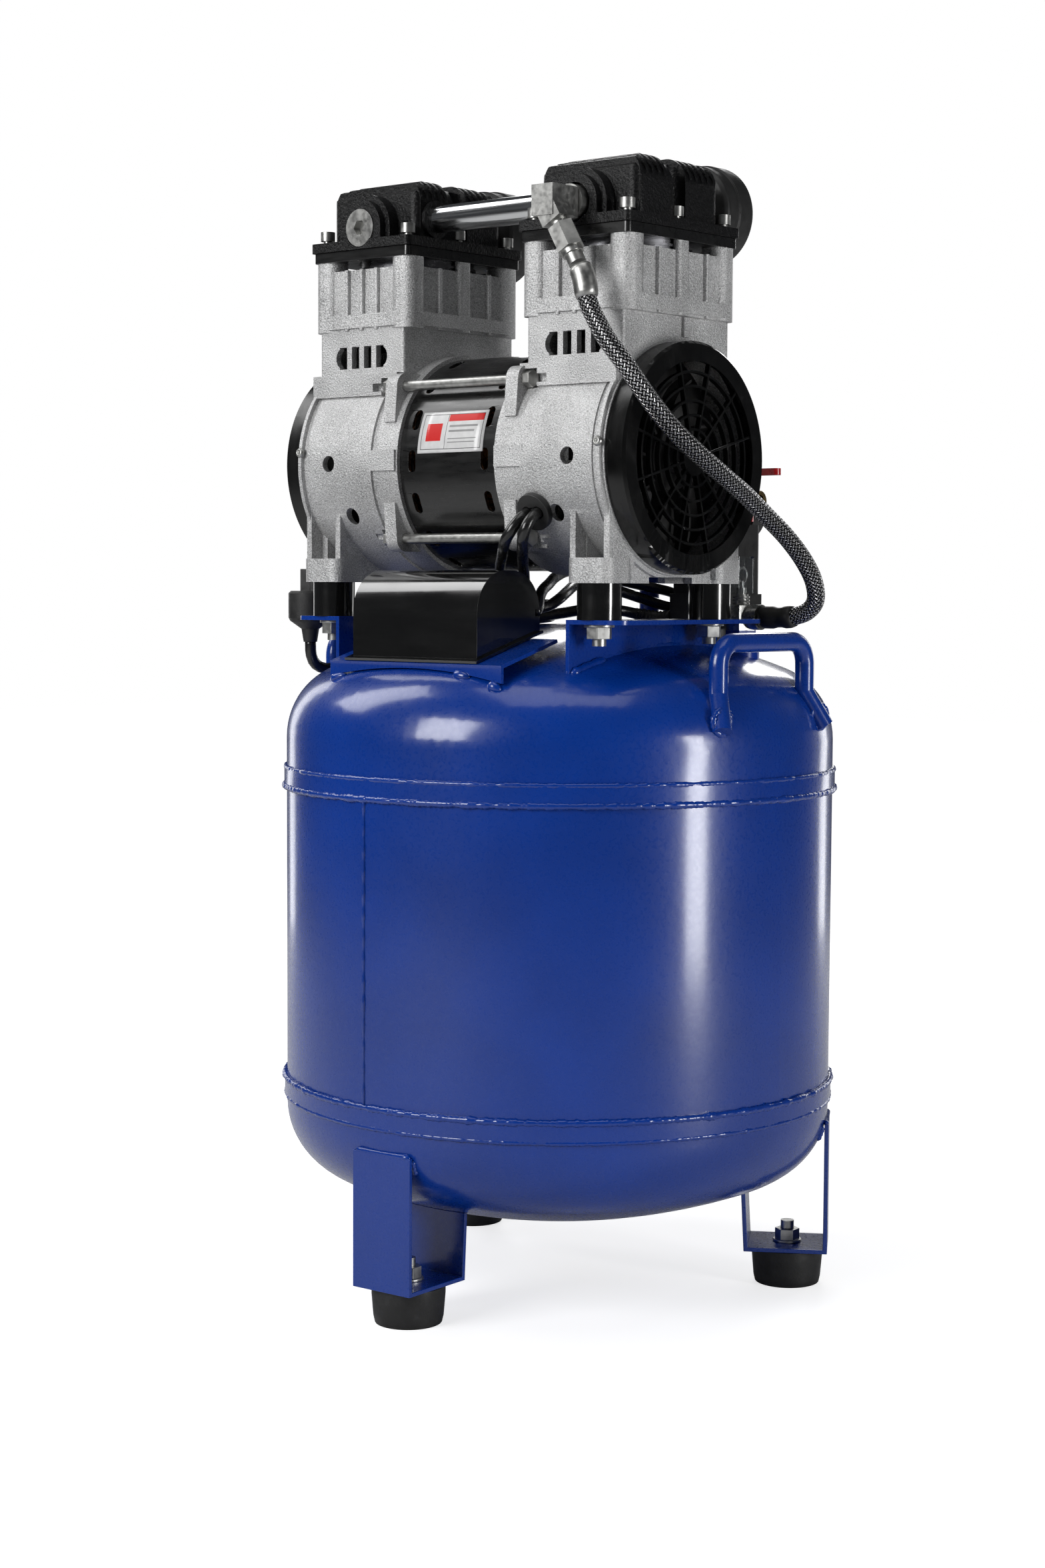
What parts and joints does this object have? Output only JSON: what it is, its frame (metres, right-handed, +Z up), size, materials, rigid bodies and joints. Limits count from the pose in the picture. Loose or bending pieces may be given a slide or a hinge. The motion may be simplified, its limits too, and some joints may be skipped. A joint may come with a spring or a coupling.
{
  "type": "air compressor",
  "caption": "Upright oil-free air compressor: twin-cylinder motor pump on rubber mounts over a round steel tank with legs, handles, outlet valve and braided hose.",
  "frame": {"origin": "centre of the tank on the floor", "axes": "+Z up along the tank axis, X along the motor shaft, -Y towards the tank seam and the capacitor cover"},
  "size_m": [0.333, 0.3334, 0.667],
  "materials": {
    "tank_blue": "deep glossy blue paint",
    "cast_alu": "sand-cast, silver paint grain",
    "black_steel": "satin black",
    "black_cast": "textured black",
    "gloss_black": "glossy",
    "matte_black": "fine matte",
    "rubber": "matt",
    "zinc": "zinc plated",
    "chrome": "polished",
    "brass": "machined",
    "copper": "enamelled copper wire",
    "lamination": "stacked laminations",
    "liner": "dark anodised",
    "cable": "smooth PVC sheath",
    "braid": "braided stainless wire",
    "clear": "clear plastic",
    "red": "glossy red"
  },
  "bodies": {
    "frame": {"tank_barrel": "tank_blue", "dome_top": "tank_blue", "dome_bottom": "tank_blue", "leg_front": "tank_blue", "leg_right": "tank_blue", "leg_rear": "tank_blue", "feet": "rubber", "m8_studs": "zinc", "m8_nuts": "zinc", "bracket_left": "tank_blue", "bracket_right": "tank_blue", "handles": "tank_blue", "isolators": "rubber", "capacitor_tray": "tank_blue", "capacitor_cover": "gloss_black", "capacitor": "cast_alu", "stator_band": "black_steel", "stator_core": "lamination", "windings": "copper", "shell_left": "cast_alu", "shell_right": "cast_alu", "bearings": "zinc", "cylinder_left": "cast_alu", "cylinder_right": "cast_alu", "liners": "liner", "valve_plates": "black_steel", "head_left": "black_cast", "head_right": "black_cast", "head_screws": "zinc", "head_plug": "zinc", "crossover_tube": "chrome", "filter_left": "matte_black", "filter_right": "matte_black", "cover_left": "gloss_black", "cover_right": "gloss_black", "tie_rods": "zinc", "cable_gland": "matte_black", "motor_leads": "cable", "hose_elbow": "zinc", "hose": "braid", "tank_tee": "zinc", "pressure_switch": "matte_black", "outlet_pipe": "brass", "gauge": "black_steel", "safety_valve": "zinc", "valve_guard": "clear", "drain_valve": "brass", "power_cord": "cable", "cord_coil": "cable", "plug": "matte_black"},
    "shaft": {"rotor": "lamination", "fans": "matte_black", "cranks": "lamination"},
    "rod_left": {"rod_left": "cast_alu"},
    "rod_right": {"rod_right": "cast_alu"},
    "switch_knob": {"switch_knob": "red"},
    "outlet_lever": {"outlet_lever": "red"},
    "gauge_needle": {"gauge_needle": "red"},
    "safety_ring": {"safety_ring": "zinc"},
    "drain_screw": {"drain_screw": "brass"}
  },
  "joints": [
    {"name": "shaft_spin", "type": "hinge", "parent": "frame", "child": "shaft", "pos_m": [0, -0.039, 0.493], "axis": [1, 0, 0], "continuous": true},
    {"name": "rod_right_turn", "type": "hinge", "parent": "shaft", "child": "rod_right", "pos_m": [0.082, -0.039, 0.498], "axis": [1, 0, 0], "continuous": true},
    {"name": "rod_left_turn", "type": "hinge", "parent": "shaft", "child": "rod_left", "pos_m": [-0.082, -0.039, 0.488], "axis": [1, 0, 0], "continuous": true},
    {"name": "switch_knob_pull", "type": "slide", "parent": "frame", "child": "switch_knob", "axis": [0, 0, 1], "range_m": [0, 0.005]},
    {"name": "outlet_lever_turn", "type": "hinge", "parent": "frame", "child": "outlet_lever", "pos_m": [0.083, 0.062, 0.4895], "axis": [0, 0, 1], "range_deg": [0, 90]},
    {"name": "gauge_needle_turn", "type": "hinge", "parent": "frame", "child": "gauge_needle", "pos_m": [0.056, 0.065, 0.467], "axis": [0, -1, 0], "range_deg": [0, 270], "stiffness_Nm_per_rad": 0.0005, "springref_deg": -11.46},
    {"name": "safety_ring_pull", "type": "slide", "parent": "frame", "child": "safety_ring", "axis": [0, 0, 1], "range_m": [0, 0.003], "stiffness_N_per_m": 500, "springref_m": -0.002},
    {"name": "drain_screw_turn", "type": "hinge", "parent": "frame", "child": "drain_screw", "pos_m": [0, 0.012, 0.03753], "axis": [0, 1, 0], "range_deg": [0, 360]}
  ],
  "couplings": [
    {"joint": "rod_right_turn", "follows": "shaft_spin", "ratio": -1},
    {"joint": "rod_left_turn", "follows": "shaft_spin", "ratio": -1}
  ]
}
